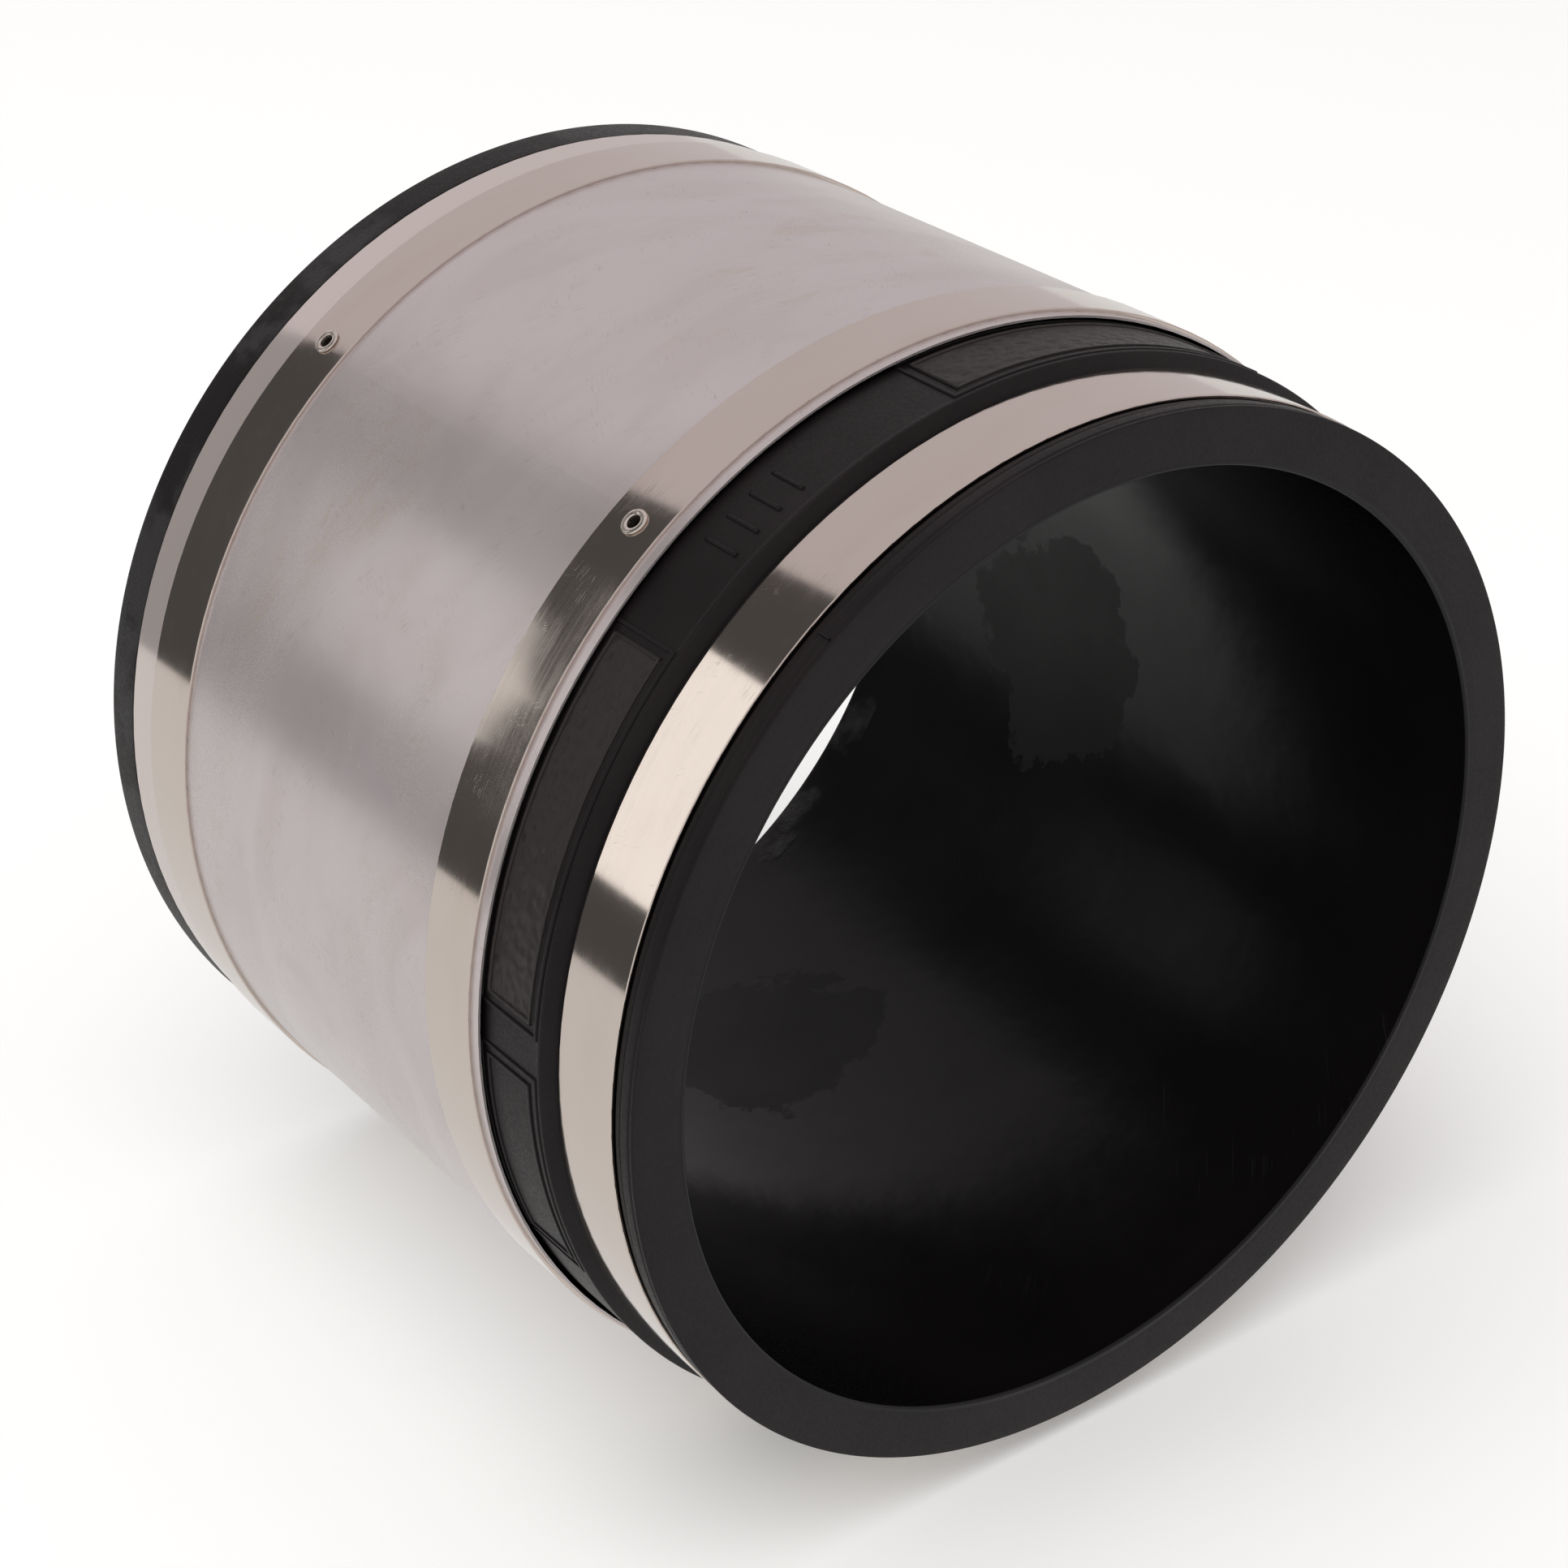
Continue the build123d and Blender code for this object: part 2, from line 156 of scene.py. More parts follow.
# The cards' corners are (azimuth, elevation) in degrees as seen from the object.
TALL_CARD_TOP = [(-126, 43.2), (-136, 40.2)]
TALL_CARD_SIDE = [(-130.2, 32), (-126.3, 23.3), (-124.4, 14.5), (-123.4, 4.9), (-112, 4.9)]
ROUNDED_CARD_UPPER = [(-128.6, 21.3), (-132.9, 29.0), (-136.3, 31.4), (-140.0, 31.9), (-141.3, 28.8)]
ROUNDED_CARD_LOWER = [(-138.6, 18.5), (-134.0, 9.0), (-131.3, 7.2), (-128.8, 9.0), (-127.6, 12.7)]
LAMP_AT = (0.5, -1.5, 2.9)
LAMP_SIZE = 3.0
LAMP_POWER = 60

# ---- camera ----
CAMERA_AT = (0.4143, -0.3153, 0.2859)
CAMERA_TURN = (60.92, 0.0, 53.19)
CAMERA_ANGLE = 26.83


# =====================================================================
# Mesh helpers
# =====================================================================
def on_wall(x, r, degrees):
    """A point at a distance r from the pipe's axis."""
    a = math.radians(degrees)
    return Vector((x, r * math.cos(a), r * math.sin(a)))


def mesh_object(name, vertices, faces, smooth=True):
    mesh = bpy.data.meshes.new(name)
    mesh.from_pydata([tuple(v) for v in vertices], [], faces)
    mesh.validate()
    bm = bmesh.new()
    bm.from_mesh(mesh)
    bmesh.ops.recalc_face_normals(bm, faces=bm.faces)
    bm.to_mesh(mesh)
    bm.free()
    for polygon in mesh.polygons:
        polygon.use_smooth = smooth
    piece = bpy.data.objects.new(name, mesh)
    bpy.context.scene.collection.objects.link(piece)
    return piece


def ring_faces(rings, size, closed=True):
    """Faces between rings of vertices that follow one another, and from the last to the first if closed."""
    faces = []
    for i in range(rings if closed else rings - 1):
        j = (i + 1) % rings
        for k in range(size):
            m = (k + 1) % size
            faces.append((i * size + k, i * size + m, j * size + m, j * size + k))
    return faces


def unit(vector):
    return vector / max(np.linalg.norm(vector), 1e-9)


def rounded_outline(corners, steps=5):
    """A closed outline in (x, r) whose corners are rounded. Each corner is (x, r, radius)."""
    points = []
    count = len(corners)
    for i, (x, r, radius) in enumerate(corners):
        here = np.array((x, r))
        before = np.array(corners[i - 1][:2]) - here
        after = np.array(corners[(i + 1) % count][:2]) - here
        before_len = np.linalg.norm(before)
        after_len = np.linalg.norm(after)
        if radius <= 0:
            points.append(here)
            continue
        before = before / before_len
        after = after / after_len
        half = math.acos(max(-1.0, min(1.0, float(before @ after)))) / 2
        reach = min(radius / math.tan(half), 0.45 * before_len, 0.45 * after_len)
        start = here + before * reach
        end = here + after * reach
        for k in range(steps + 1):
            t = k / steps
            points.append((1 - t) ** 2 * start + 2 * t * (1 - t) * here + t ** 2 * end)
    return points


def divide_long_runs(points, longest):
    """Add points along the runs of a closed outline that are longer than a given length."""
    divided = []
    for i, here in enumerate(points):
        there = points[(i + 1) % len(points)]
        pieces = max(1, math.ceil(float(np.linalg.norm(there - here)) / longest))
        for k in range(pieces):
            divided.append(here + (there - here) * k / pieces)
    return divided


# =====================================================================
# The sleeve
# =====================================================================
def sleeve_outline():
    """The elastomer's half section, with the soft corners that moulding leaves."""
    groove_near = NEAR_FACE - NEAR_LIP_WIDTH
    groove_far = groove_near - GROOVE_WIDTH
    far_lip = FAR_FACE + FAR_LIP_WIDTH
    corners = [
        (NEAR_FACE, BORE_R, 0.7 * MM),
        (NEAR_FACE, NEAR_LIP_R - 0.06 * MM, 0.3 * MM),
        (NEAR_FACE - 0.55 * MM, NEAR_LIP_R, 0.3 * MM),
        (NEAR_FACE - 0.95 * MM, NEAR_LIP_R - 0.30 * MM, 0.2 * MM),
        (NEAR_FACE - 1.35 * MM, NEAR_LIP_R - 0.05 * MM, 0.5 * MM),
        (NEAR_FACE - 3.0 * MM, NEAR_LIP_R - 0.02 * MM, 0.5 * MM),
        (NEAR_FACE - 3.5 * MM, NEAR_STEP_R - 0.25 * MM, 0.15 * MM),
        (NEAR_FACE - 3.8 * MM, NEAR_STEP_R, 0.3 * MM),
        (groove_near, NEAR_STEP_R - 0.05 * MM, 0.15 * MM),
        (groove_near, GROOVE_R, 0.15 * MM),
        (groove_far - 0.6 * MM, GROOVE_R, 0.3 * MM),
        (groove_far - 2.0 * MM, MIDDLE_R + 0.12 * MM, 0.5 * MM),
        (groove_far - 2.7 * MM, MIDDLE_R + 0.10 * MM, 0.3 * MM),
        (groove_far - 3.1 * MM, MIDDLE_R, 0.2 * MM),
        (far_lip, MIDDLE_R, 0.3 * MM),
        (far_lip, FAR_LIP_R, 0.4 * MM),
        (FAR_FACE, FAR_LIP_R, 0.7 * MM),
        (FAR_FACE, BORE_R, 0.7 * MM),
    ]
    return divide_long_runs(rounded_outline(corners), LONGEST_RUN)


def slack(x, r, degrees):
    """How far the soft wall stands off its true radius, in metres.

    The slack ends wander more than the clamped middle.
    """
    a = math.radians(degrees)
    near = math.exp(-(NEAR_FACE - x) / NEAR_SLACK_REACH)
    far = math.exp(-(x - FAR_FACE) / FAR_SLACK_REACH)
    wander = 0.20 * math.sin(2 * a + 0.6) + 0.16 * math.sin(3 * a + 2.1) + 0.10 * math.sin(5 * a + 0.4)
    bore = 0.22 * math.sin(2 * a + 3.0) + 0.12 * math.sin(3 * a + x * 40)
    inside = 1.0 if r < BORE_R + 1.5 * MM else 0.0
    outside = 1.0 - inside
    return MM * (outside * wander * (0.8 * near + 0.5 * far) + inside * (bore * 0.6 + wander * 0.9 * near))


def elastomer_sleeve():
    outline = sleeve_outline()
    vertices = []
    for k in range(SLEEVE_TURNS):
        degrees = 360 * k / SLEEVE_TURNS
        for x, r in outline:
            vertices.append(on_wall(x, r + slack(x, r, degrees), degrees))
    return mesh_object("elastomer_sleeve", vertices, ring_faces(SLEEVE_TURNS, len(outline)))


def bead_path(corners, closed, base_r):
    """Closely spaced points along (x, degrees) corners, as (x, arc)."""
    path = []
    runs = len(corners) if closed else len(corners) - 1
    for i in range(runs):
        x_a, deg_a = corners[i]
        x_b, deg_b = corners[(i + 1) % len(corners)]
        arc = abs(math.radians(deg_b - deg_a)) * base_r
        steps = max(2, int(max(arc, abs(x_b - x_a)) / BEAD_STEP))
        for k in range(steps):
            t = k / steps
            path.append((x_a + (x_b - x_a) * t, deg_a + (deg_b - deg_a) * t))
    if not closed:
        path.append(corners[-1])
    return [np.array((x, math.radians(d) * base_r)) for x, d in path]


def sideways_at(path, i, closed):
    """The direction across a path at one of its points, lengthened at a corner so that the width holds."""
    here = path[i]
    before = path[i - 1] if closed or i > 0 else here
    after = path[(i + 1) % len(path)] if closed or i < len(path) - 1 else here
    run_in = unit(here - before)
    run_out = unit(after - here)
    along = unit(run_in + run_out)
    side = np.array((-along[1], along[0]))
    out_side = np.array((-run_out[1], run_out[0]))
    mitre = 1 / max(0.5, abs(float(side @ out_side))) if closed else 1.0
    return side, mitre


def bead(name, corners, closed=True, width=LINE_WIDTH, height=LINE_HEIGHT, base_r=MIDDLE_R):
    """A low rounded ridge that follows (x, degrees) corners wrapped on the sleeve."""
    path = bead_path(corners, closed, base_r)
    vertices = []
    for i, here in enumerate(path):
        side, mitre = sideways_at(path, i, closed)
        for u, v in BEAD_SECTION:
            at = here + side * u * width / 2 * mitre
            vertices.append(on_wall(at[0], base_r + v * height, math.degrees(at[1] / base_r)))
    size = len(BEAD_SECTION)
    faces = ring_faces(len(path), size, closed)
    if not closed:
        faces.append(tuple(range(size)))
        faces.append(tuple((len(path) - 1) * size + k for k in range(size)))
    return mesh_object(name, vertices, faces)


def framed_panels():
    """The double frames on the elastomer that shows between the near band and the shear ring."""
    pieces = []
    for number, (deg_a, deg_b) in enumerate(FRAME_SPANS, 1):
        for line, inset in enumerate((0, INNER_LINE_OFFSET)):
            inset_deg = math.degrees(inset / MIDDLE_R)
            half_line = LINE_WIDTH / 2
            x_high = NEAR_FACE - FRAME_START - inset - half_line
            x_low = NEAR_FACE - FRAME_START - FRAME_LENGTH + inset + half_line
            a = deg_a + inset_deg + math.degrees(half_line / MIDDLE_R)
            b = deg_b - inset_deg - math.degrees(half_line / MIDDLE_R)
            rectangle = [(x_high, a), (x_high, b), (x_low, b), (x_low, a)]
            pieces.append(bead(f"moulded_frame_{number}_{line + 1}", rectangle))
    return pieces


def plain_ribs():
    """Plain raised ribs between the two upper frames."""
    pieces = []
    for k in range(RIB_COUNT):
        degrees = RIB_START_DEG + RIB_PITCH_DEG * k
        ends = [(NEAR_FACE - RIB_NEAR, degrees), (NEAR_FACE - RIB_FAR, degrees)]
        pieces.append(bead(f"moulded_rib_{k + 1}", ends, closed=False, width=0.9 * MM))
    return pieces


def parting_ridge():
    """The thin flash line that the mould's joint leaves across the near lip."""
    ends = [(NEAR_FACE - 0.8 * MM, RIDGE_DEG), (NEAR_FACE - 3.4 * MM, RIDGE_DEG)]
    return [bead("parting_ridge", ends, closed=False, width=0.35 * MM, height=0.16 * MM, base_r=NEAR_LIP_R)]


# =====================================================================
# The eyelets
# =====================================================================
def eyelet_outline():
    """The rolled rivet's half section as (distance from its own axis, height above the band), in metres."""
    roll_r = 0.3
    crest = 1.78
    points = []
    for k in range(ROLL_STEPS):
        a = math.radians(-60 + 250 * k / (ROLL_STEPS - 1))
        points.append((crest + 0.57 * math.cos(a), 0.26 + roll_r * math.sin(a)))
    bore = [(1.16, 0.02), (1.12, -0.30), (1.12, -1.28)]
    clinch = [(1.70, -1.30), (2.1, -1.24), (2.18, -1.12), (2.1, -1.03)]
    barrel = [(1.60, -1.02), (1.60, -0.03), (2.0, -0.03)]
    return [(rho * MM, height * MM) for rho, height in points + bore + clinch + barrel]


def rolled_eyelet(name, node):
    """A hollow rivet turned about the line from the pipe's axis through the eyelet's hole."""
    low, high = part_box(node)
    x_mid = (low.x + high.x) / 2
    outward = on_wall(0, 1, EYELET_DEG)
    along = Vector((1, 0, 0))
    sideways = outward.cross(along)
    foot = on_wall(x_mid, BAND_OUTSIDE_R, EYELET_DEG)
    outline = eyelet_outline()
    vertices = []
    for k in range(EYELET_TURNS):
        a = 2 * math.pi * k / EYELET_TURNS
        spoke = along * math.cos(a) + sideways * math.sin(a)
        for rho, height in outline:
            wobble = 1 + 0.012 * math.sin(3 * a + x_mid * 900)
            vertices.append(foot + spoke * rho * wobble + outward * height)
    return mesh_object(name, vertices, ring_faces(EYELET_TURNS, len(outline)))


# =====================================================================
# Node helpers
# =====================================================================
class Paint:
    """Builds one procedural material. Positions come from the object's own coordinates."""

    def __init__(self, name):
        self.material = bpy.data.materials.new(name)
        self.material.use_nodes = True
        self.tree = self.material.node_tree
        self.shader = self.tree.nodes["Principled BSDF"]
        coordinates = self.tree.nodes.new("ShaderNodeTexCoord")
        self.place = coordinates.outputs["Object"]
        self.unwrap()

    def set(self, **values):
        for key, value in values.items():
            self.shader.inputs[key.replace("_", " ")].default_value = value

    def link(self, source, target):
        self.tree.links.new(source, target)

    def feed(self, socket, source):
        if isinstance(source, (int, float, tuple)):
            socket.default_value = source
        else:
            self.link(source, socket)

    def math(self, operation, a, b=0.0, clamp=False):
        node = self.tree.nodes.new("ShaderNodeMath")
        node.operation = operation
        node.use_clamp = clamp
        self.feed(node.inputs[0], a)
        self.feed(node.inputs[1], b)
        return node.outputs[0]

    def unwrap(self):
        """x along the pipe, arc round it and radius from it, all in metres. The seam is behind the drives."""
        turned = self.tree.nodes.new("ShaderNodeMapping")
        turned.inputs["Rotation"].default_value = (math.radians(-EYELET_DEG), 0, 0)
        self.link(self.place, turned.inputs["Vector"])
        split = self.tree.nodes.new("ShaderNodeSeparateXYZ")
        self.link(turned.outputs["Vector"], split.inputs["Vector"])
        angle = self.math("ARCTAN2", split.outputs["Z"], split.outputs["Y"])
        self.x = split.outputs["X"]
        self.degrees = self.math("ADD", self.math("MULTIPLY", angle, 180 / math.pi), EYELET_DEG)
        self.arc = self.math("MULTIPLY", angle, 0.096)
        y_part = self.math("MULTIPLY", split.outputs["Y"], split.outputs["Y"])
        z_part = self.math("MULTIPLY", split.outputs["Z"], split.outputs["Z"])
        self.radius = self.math("SQRT", self.math("ADD", y_part, z_part))

    def vector(self, x, y, z=0.0):
        node = self.tree.nodes.new("ShaderNodeCombineXYZ")
        for socket, source in zip(node.inputs, (x, y, z)):
            self.feed(socket, source)
        return node.outputs[0]

    def stretched(self, x_scale, arc_scale, turn=0.0):
        """Surface coordinates with separate scales along and round the pipe, turned by some degrees."""
        c, s = math.cos(math.radians(turn)), math.sin(math.radians(turn))
        u = self.math("ADD", self.math("MULTIPLY", self.x, c), self.math("MULTIPLY", self.arc, s))
        v = self.math("SUBTRACT", self.math("MULTIPLY", self.arc, c), self.math("MULTIPLY", self.x, s))
        scaled_u = self.math("MULTIPLY", u, x_scale)
        scaled_v = self.math("MULTIPLY", v, arc_scale)
        return self.vector(scaled_u, scaled_v, self.radius)

    def noise(self, vector, scale=1.0, detail=2.0, roughness=0.5, distortion=0.0):
        node = self.tree.nodes.new("ShaderNodeTexNoise")
        node.inputs["Scale"].default_value = scale
        node.inputs["Detail"].default_value = detail
        node.inputs["Roughness"].default_value = roughness
        node.inputs["Distortion"].default_value = distortion
        self.link(vector, node.inputs["Vector"])
        return node.outputs["Fac"]

    def cells(self, vector, scale, feature):
        node = self.tree.nodes.new("ShaderNodeTexVoronoi")
        node.feature = feature
        node.inputs["Scale"].default_value = scale
        self.link(vector, node.inputs["Vector"])
        return node.outputs["Distance"]

    def span(self, value, low, high, out_low=0.0, out_high=1.0):
        """Maps low..high smoothly to out_low..out_high, and holds it beyond them."""
        node = self.tree.nodes.new("ShaderNodeMapRange")
        node.interpolation_type = "SMOOTHSTEP"
        for key, source in zip(("From Min", "From Max", "To Min", "To Max"), (low, high, out_low, out_high)):
            node.inputs[key].default_value = source
        self.link(value, node.inputs["Value"])
        return node.outputs["Result"]

    def between(self, value, low, high, soft):
        """1 between low and high, 0 outside, with soft edges."""
        rise = self.span(value, low - soft, low + soft)
        fall = self.span(value, high - soft, high + soft, 1.0, 0.0)
        return self.math("MULTIPLY", rise, fall)

    def mix(self, factor, a, b):
        node = self.tree.nodes.new("ShaderNodeMix")
        node.data_type = "RGBA"
        self.feed(node.inputs["Factor"], factor)
        self.feed(node.inputs["A"], a)
        self.feed(node.inputs["B"], b)
        return node.outputs["Result"]

    def bump(self, height, distance, strength=1.0, after=None):
        node = self.tree.nodes.new("ShaderNodeBump")
        node.inputs["Strength"].default_value = strength
        node.inputs["Distance"].default_value = distance
        self.link(height, node.inputs["Height"])
        if after is not None:
            self.link(after, node.inputs["Normal"])
        return node.outputs["Normal"]

    def finish(self, colour=None, roughness=None, normal=None):
        for key, source in (("Base Color", colour), ("Roughness", roughness), ("Normal", normal)):
            if source is not None:
                self.link(source, self.shader.inputs[key])
        return self.material


def scratches(paint, turn, across, along, low, high, region, cut):
    """Short thin scratches in one direction: 1 on a scratch and 0 elsewhere.

    They show only where a coarse noise of scale region is above cut.
    """
    lines = paint.noise(paint.stretched(across, along, turn), detail=0.0)
    patches = paint.noise(paint.stretched(region, region, turn + 20), detail=1.0)
    allowed = paint.span(patches, cut, cut + 0.05)
    return paint.math("MULTIPLY", paint.span(lines, low, high), allowed)


# =====================================================================
# Materials
# =====================================================================
def polished_strip():
    """Rolled bright strip: faint lines along the roll, smoky dull patches and a few hairline scratches."""
    paint = Paint("polished_strip")
    paint.set(Metallic=1.0)
    rolled = paint.noise(paint.stretched(5200, 20), detail=2.0)
    smoke = paint.noise(paint.stretched(210, 120), detail=5.0, roughness=0.65, distortion=0.4)
    cloud = paint.noise(paint.stretched(60, 22), detail=3.0, roughness=0.6)
    scratch = paint.math(
        "ADD",
        scratches(paint, turn=4, across=9500, along=190, low=0.72, high=0.76, region=95, cut=0.58),
        scratches(paint, turn=58, across=10500, along=520, low=0.73, high=0.77, region=140, cut=0.61),
        clamp=True,
    )
    colour = paint.mix(paint.span(cloud, 0.46, 0.7), STRIP_WARM, STRIP_CLOUD)
    haze = paint.math("MULTIPLY", paint.span(smoke, 0.45, 0.72), 0.025)
    base = paint.math("ADD", haze, paint.span(rolled, 0.3, 0.7, 0.07, 0.10))
    roughness = paint.math("ADD", base, paint.math("MULTIPLY", scratch, 0.1), clamp=True)
    height = paint.math("SUBTRACT", paint.math("MULTIPLY", rolled, 0.22), scratch)
    return paint.finish(colour, roughness, paint.bump(height, 0.0016 * MM, 0.5))


def sheet_colour(paint, cloud, stained_area, fleck, scratch, margin):
    clouded = paint.mix(paint.span(cloud, 0.36, 0.66), SHEET_PALE, SHEET_CLOUD)
    stained = paint.mix(paint.math("MULTIPLY", stained_area, 0.5), clouded, SHEET_STAIN)
    flecked = paint.mix(paint.math("MULTIPLY", fleck, 0.7), stained, SHEET_FLECK)
    scored = paint.mix(paint.math("MULTIPLY", scratch, 0.45), flecked, SHEET_SCRATCH)
    return paint.mix(margin, scored, SHEET_MARGIN)


def satin_sheet():
    """The shear ring's sheet: satin, cloudy, stained and scratched, with a bright far margin."""
    paint = Paint("satin_sheet")
    paint.set(Metallic=0.62, Specular_IOR_Level=0.1)
    grain = paint.noise(paint.stretched(3600, 160), detail=3.0)
    weave = paint.noise(paint.stretched(2300, 2300), detail=2.0)
    cloud = paint.noise(paint.stretched(58, 24, 12), detail=5.0, roughness=0.55, distortion=0.8)
    patch = paint.noise(paint.stretched(24, 14, -8), detail=5.0, roughness=0.6, distortion=0.6)
    stain = paint.noise(paint.stretched(95, 34, 14), detail=6.0, roughness=0.72, distortion=0.5)
    spots = paint.noise(paint.stretched(900, 800), detail=2.0, roughness=0.6)
    scratch = paint.math(
        "ADD",
        scratches(paint, turn=32, across=5600, along=240, low=0.70, high=0.735, region=80, cut=0.56),
        scratches(paint, turn=-61, across=6400, along=330, low=0.70, high=0.735, region=100, cut=0.57),
        clamp=True,
    )
    stained_area = paint.math("MULTIPLY", paint.span(patch, 0.52, 0.62), paint.span(stain, 0.53, 0.62))
    fleck = paint.math("MULTIPLY", paint.span(spots, 0.76, 0.80), paint.span(stain, 0.5, 0.6))
    margin = paint.span(paint.x, far_band_low.x - 0.2 * MM, far_band_low.x, 1.0, 0.0)
    colour = sheet_colour(paint, cloud, stained_area, fleck, scratch, margin)
    broad_satin = paint.span(patch, 0.35, 0.7, 0.20, 0.26)
    fine_satin = paint.span(weave, 0.3, 0.7, 0.0, 0.04)
    satin = paint.math("ADD", broad_satin, fine_satin)
    keep = paint.math("SUBTRACT", 1.0, margin)
    roughness = paint.math("ADD", paint.math("MULTIPLY", satin, keep), paint.math("MULTIPLY", margin, 0.1))
    ground = paint.math("ADD", paint.math("MULTIPLY", grain, 0.45), paint.math("MULTIPLY", weave, 0.15))
    height = paint.math("SUBTRACT", ground, scratch)
    return paint.finish(colour, roughness, paint.bump(height, 0.003 * MM, 0.55))


def eyelet_metal():
    """Bright rivet metal with tarnished spots."""
    paint = Paint("eyelet_metal")
    paint.set(Metallic=1.0)
    tarnish = paint.noise(paint.place, scale=900, detail=3.0)
    colour = paint.mix(paint.span(tarnish, 0.45, 0.7), EYELET_BRIGHT, EYELET_TARNISH)
    roughness = paint.span(tarnish, 0.3, 0.7, 0.22, 0.36)
    return paint.finish(colour, roughness, paint.bump(tarnish, 0.02 * MM, 0.4))


def plated_screw():
    """Zinc-bright steel with dull clouds and a fine grain."""
    paint = Paint("plated_screw")
    paint.set(Metallic=1.0)
    cloud = paint.noise(paint.place, scale=420, detail=4.0)
    fine = paint.noise(paint.place, scale=2600, detail=2.0)
    colour = paint.mix(paint.span(cloud, 0.42, 0.68), SCREW_BRIGHT, SCREW_DULL)
    roughness = paint.span(fine, 0.3, 0.7, 0.2, 0.34)
    return paint.finish(colour, roughness, paint.bump(fine, 0.012 * MM, 0.4))


def dull_patches(paint):
    """The ragged dull areas inside the bore: 1 inside them and 0 elsewhere."""
    ragged = paint.noise(paint.place, scale=55, detail=6.0, roughness=0.65)
    ragged = paint.math("MULTIPLY", paint.math("SUBTRACT", ragged, 0.5), 3.4)
    total = 0.0
    for x, degrees, half_x, half_degrees in DULL_PATCHES:
        u = paint.math("DIVIDE", paint.math("SUBTRACT", paint.x, x * MM), half_x * MM)
        v = paint.math("DIVIDE", paint.math("SUBTRACT", paint.degrees, degrees), half_degrees)
        reach = paint.math("ADD", paint.math("MULTIPLY", u, u), paint.math("MULTIPLY", v, v))
        patch = paint.span(paint.math("ADD", reach, ragged), 0.85, 1.0, 1.0, 0.0)
        total = paint.math("ADD", total, patch, clamp=True)
    return total


def pebbled_panels(paint):
    """1 inside the pebbled frames and 0 elsewhere, on the inside and the outside of the sleeve alike."""
    along = paint.between(
        paint.x,
        NEAR_FACE - FRAME_START - FRAME_LENGTH + INNER_LINE_OFFSET,
        NEAR_FACE - FRAME_START - INNER_LINE_OFFSET,
        0.3 * MM,
    )
    panels = 0.0
    for deg_a, deg_b in PEBBLED_SPANS:
        span = paint.between(paint.degrees, deg_a + PEBBLED_MARGIN_DEG, deg_b - PEBBLED_MARGIN_DEG, 0.2)
        panels = paint.math("ADD", panels, span)
    return paint.math("MULTIPLY", panels, along)


def elastomer_colour(paint, inside, broad, dust, pebbled, dull, worn):
    rubbed = scratches(paint, turn=38, across=2600, along=60, low=0.70, high=0.78, region=30, cut=0.56)
    rubbed = paint.math("MULTIPLY", inside, rubbed)
    outer = paint.mix(paint.span(broad, 0.35, 0.7), RUBBER_DARK, RUBBER_PALE)
    outer = paint.mix(paint.span(dust, 0.74, 0.8, 0.0, 0.35), outer, RUBBER_DUST)
    outer = paint.mix(paint.math("MULTIPLY", pebbled, 0.8), outer, RUBBER_PEBBLED)
    # The bore starts from a base darker than the outside rubber's, which is painted shade inside the bore.
    bore = paint.mix(dull, BORE_PAINTED_SHADE, BORE_DULL)
    bore = paint.mix(paint.math("MULTIPLY", rubbed, 0.3), bore, BORE_RUBBED)
    return paint.mix(worn, paint.mix(inside, outer, bore), RUBBER_WORN)


def elastomer_roughness(paint, inside, outside, fine, broad, dull):
    outer = paint.span(fine, 0.3, 0.7, 0.42, 0.54)
    smooth_bore = paint.span(broad, 0.3, 0.7, 0.21, 0.27)
    bore = paint.math("ADD", smooth_bore, paint.math("MULTIPLY", dull, 0.24))
    return paint.math("ADD", paint.math("MULTIPLY", outer, outside), paint.math("MULTIPLY", bore, inside))


def elastomer_relief(paint, inside, outside, fine, broad, pebbled, dull, worn):
    pebble = paint.cells(paint.stretched(620, 480), 1.0, "SMOOTH_F1")
    skin = paint.math("MULTIPLY", fine, paint.math("MAXIMUM", outside, dull))
    ground = paint.bump(skin, 0.035 * MM, 0.5)
    waves = paint.bump(paint.math("MULTIPLY", broad, inside), 0.6 * MM, 0.35, after=ground)
    dented = paint.bump(paint.math("MULTIPLY", pebble, pebbled), 0.55 * MM, 1.0, after=waves)
    return paint.bump(paint.math("MULTIPLY", fine, worn), 0.2 * MM, 0.8, after=dented)


def elastomer():
    """Black moulded elastomer: matte outside, pebbled panels, smooth bore darkened with painted shade and
    with dull patches, worn far lip.
    """
    paint = Paint("elastomer")
    paint.set(Specular_IOR_Level=0.23)
    fine = paint.noise(paint.place, scale=1700, detail=3.0)
    dust = paint.noise(paint.place, scale=5200, detail=1.0)
    broad = paint.noise(paint.place, scale=38, detail=4.0, roughness=0.6)
    inside = paint.span(paint.radius, BORE_R + 0.3 * MM, BORE_R + 1.2 * MM, 1.0, 0.0)
    outside = paint.math("SUBTRACT", 1.0, inside)
    far_lip = paint.span(paint.x, FAR_FACE + 8.0 * MM, FAR_FACE + 8.6 * MM, 1.0, 0.0)
    worn = paint.math("MULTIPLY", far_lip, paint.span(broad, 0.5, 0.6, 0.0, 0.7))
    pebbled = paint.math("MULTIPLY", pebbled_panels(paint), outside)
    dull = paint.math("MULTIPLY", inside, dull_patches(paint))
    colour = elastomer_colour(paint, inside, broad, dust, pebbled, dull, worn)
    roughness = elastomer_roughness(paint, inside, outside, fine, broad, dull)
    relief = elastomer_relief(paint, inside, outside, fine, broad, pebbled, dull, worn)
    return paint.finish(colour, roughness, relief)


def dress(piece, material):
    piece.data.materials.clear()
    piece.data.materials.append(material)


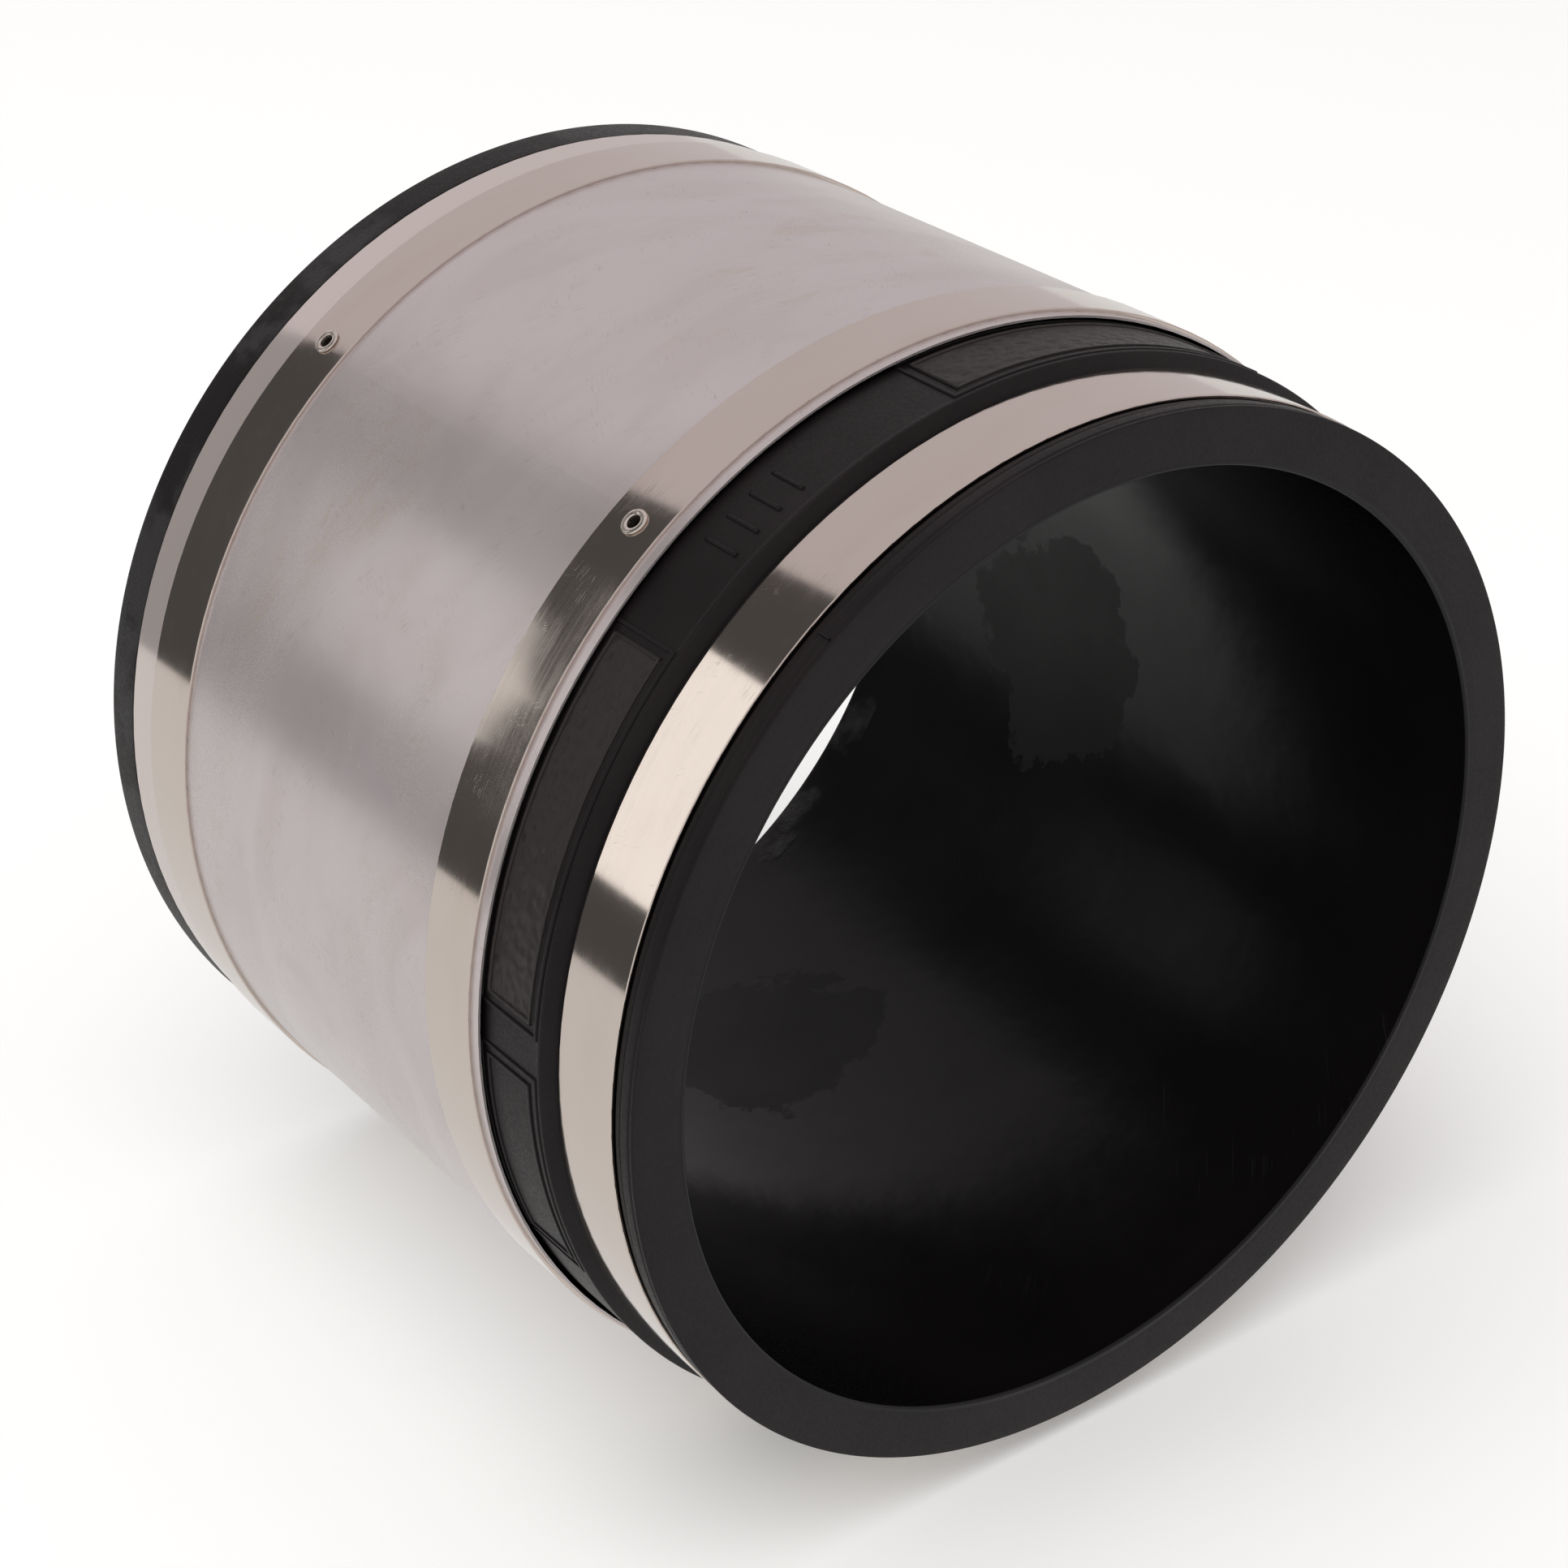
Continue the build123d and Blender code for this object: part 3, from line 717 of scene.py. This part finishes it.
# =====================================================================
# The stage: floor, light, screens and camera
# =====================================================================
def plain(name, colour, emission):
    """A matte material without highlights, which may glow."""
    material = bpy.data.materials.new(name)
    material.use_nodes = True
    shader = material.node_tree.nodes["Principled BSDF"]
    shader.inputs["Base Color"].default_value = (*colour, 1)
    shader.inputs["Roughness"].default_value = 0.9
    shader.inputs["Specular IOR Level"].default_value = 0.0
    shader.inputs["Emission Color"].default_value = (*LAMP_WHITE, 1)
    shader.inputs["Emission Strength"].default_value = emission
    return material


def wide_plane(name, z):
    corners = [(-1, -1), (1, -1), (1, 1), (-1, 1)]
    vertices = [(x * FLOOR_HALF, y * FLOOR_HALF, z) for x, y in corners]
    return mesh_object(name, vertices, [(0, 1, 2, 3)], smooth=False)


def floor():
    """The paper that the object stands on. In reflections floor_gleam takes its place."""
    piece = wide_plane("floor", FLOOR_Z)
    dress(piece, plain("floor_paper", PAPER_WHITE, emission=0.14))
    piece.visible_glossy = False


def backdrop():
    """A pale half dome behind everything, which only the camera sees."""
    vertices = []
    for i in range(DOME_RINGS):
        up = math.radians(90 * i / DOME_RINGS)
        across = DOME_R * math.cos(up)
        z = FLOOR_Z + DOME_R * math.sin(up)
        for k in range(DOME_TURNS):
            a = 2 * math.pi * k / DOME_TURNS
            vertices.append((across * math.cos(a), across * math.sin(a), z))
    vertices.append((0, 0, FLOOR_Z + DOME_R))
    faces = ring_faces(DOME_RINGS, DOME_TURNS, closed=False)
    last = (DOME_RINGS - 1) * DOME_TURNS
    for k in range(DOME_TURNS):
        faces.append((last + k, last + (k + 1) % DOME_TURNS, DOME_RINGS * DOME_TURNS))
    piece = mesh_object("backdrop", vertices, faces)
    dress(piece, plain("backdrop_paper", BLACK, emission=0.86))
    piece.visible_glossy = False
    piece.visible_diffuse = False
    piece.visible_shadow = False


def sight(azimuth, elevation, distance):
    """A point seen from the object in that direction. Azimuth 0 is +X and 90 is +Y."""
    a, e = math.radians(azimuth), math.radians(elevation)
    return Vector((math.cos(a) * math.cos(e), math.sin(a) * math.cos(e), math.sin(e))) * distance


def reflected_only(piece):
    """A studio screen that shows in reflections and nowhere else."""
    piece.visible_camera = False
    piece.visible_diffuse = False
    piece.visible_shadow = False


def dark_screen():
    """A dark cloth that stands to the left of the camera and gives the bright metal its dark bands."""
    vertices = [(x, y, z) for z in (FLOOR_Z, DARK_SCREEN_TOP) for x, y in DARK_SCREEN_PATH]
    n = len(DARK_SCREEN_PATH)
    faces = [(i, i + 1, n + i + 1, n + i) for i in range(n - 1)]
    piece = mesh_object("dark_screen", vertices, faces)
    dress(piece, plain("dark_cloth", BLACK, emission=0.085))
    reflected_only(piece)


def card(name, corners, emission):
    """A glowing card that faces the object and shows only in reflections."""
    vertices = [sight(azimuth, elevation, CARD_DISTANCE) for azimuth, elevation in corners]
    piece = mesh_object(name, vertices, [tuple(range(len(vertices)))], smooth=False)
    dress(piece, plain(name, BLACK, emission))
    reflected_only(piece)


def bright_cards():
    """One card for the bright section of the near band, and a rounded one for the soft gleam on the ring."""
    card("tall_card", TALL_CARD_TOP + TALL_CARD_SIDE, emission=1.3)
    card("rounded_card", ROUNDED_CARD_UPPER + ROUNDED_CARD_LOWER, emission=0.85)


def floor_gleam():
    """What the metal reflects instead of the floor: a plane just under it that glows evenly."""
    piece = wide_plane("floor_gleam", FLOOR_Z - 1 * MM)
    dress(piece, plain("floor_gleam", BLACK, emission=0.77))
    reflected_only(piece)


def overhead_light():
    """One large soft lamp aimed at the object. It doesn't show in reflections."""
    data = bpy.data.lights.new("overhead", "AREA")
    data.shape = "SQUARE"
    data.size = LAMP_SIZE
    data.energy = LAMP_POWER
    data.color = LAMP_WHITE
    lamp = bpy.data.objects.new("overhead", data)
    bpy.context.scene.collection.objects.link(lamp)
    lamp.location = LAMP_AT
    lamp.rotation_euler = (-Vector(LAMP_AT)).to_track_quat("-Z", "Y").to_euler()
    lamp.visible_glossy = False
    lamp.visible_camera = False


def room():
    """Even light from all round."""
    world = bpy.data.worlds.new("soft_room")
    world.use_nodes = True
    ground = world.node_tree.nodes["Background"]
    ground.inputs["Color"].default_value = ROOM_TINT
    ground.inputs["Strength"].default_value = 0.64
    bpy.context.scene.world = world


def camera():
    data = bpy.data.cameras.new("camera")
    data.sensor_fit = "AUTO"
    data.angle = math.radians(CAMERA_ANGLE)
    data.clip_start = 0.01
    data.clip_end = 100
    piece = bpy.data.objects.new("camera", data)
    bpy.context.scene.collection.objects.link(piece)
    piece.location = CAMERA_AT
    piece.rotation_euler = [math.radians(a) for a in CAMERA_TURN]
    bpy.context.scene.camera = piece


# =====================================================================
# Putting it together
# =====================================================================
bpy.context.scene.view_settings.view_transform = "Standard"
camera()
room()
floor()
backdrop()
dark_screen()
bright_cards()
floor_gleam()
overhead_light()

finishes = {
    "satin_sheet": satin_sheet(),
    "polished_strip": polished_strip(),
    "plated_screw": plated_screw(),
    "eyelet_metal": eyelet_metal(),
    "elastomer": elastomer(),
}
for row in frame["record"]["subparts"]:
    dress(frame["nodes"][row["node"]], finishes[row["material_slot"]])

sleeve = elastomer_sleeve()
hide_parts("rubber_sleeve")
for place in ("near", "far"):
    node = f"{place}_ring_eyelet"
    rivet = rolled_eyelet(f"{place}_rolled_eyelet", node)
    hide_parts(node)
    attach(rivet, "ring_assembly")
    dress(rivet, finishes["eyelet_metal"])

for piece in [sleeve] + framed_panels() + plain_ribs() + parting_ridge():
    dress(piece, finishes["elastomer"])
    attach(piece, "sleeve")
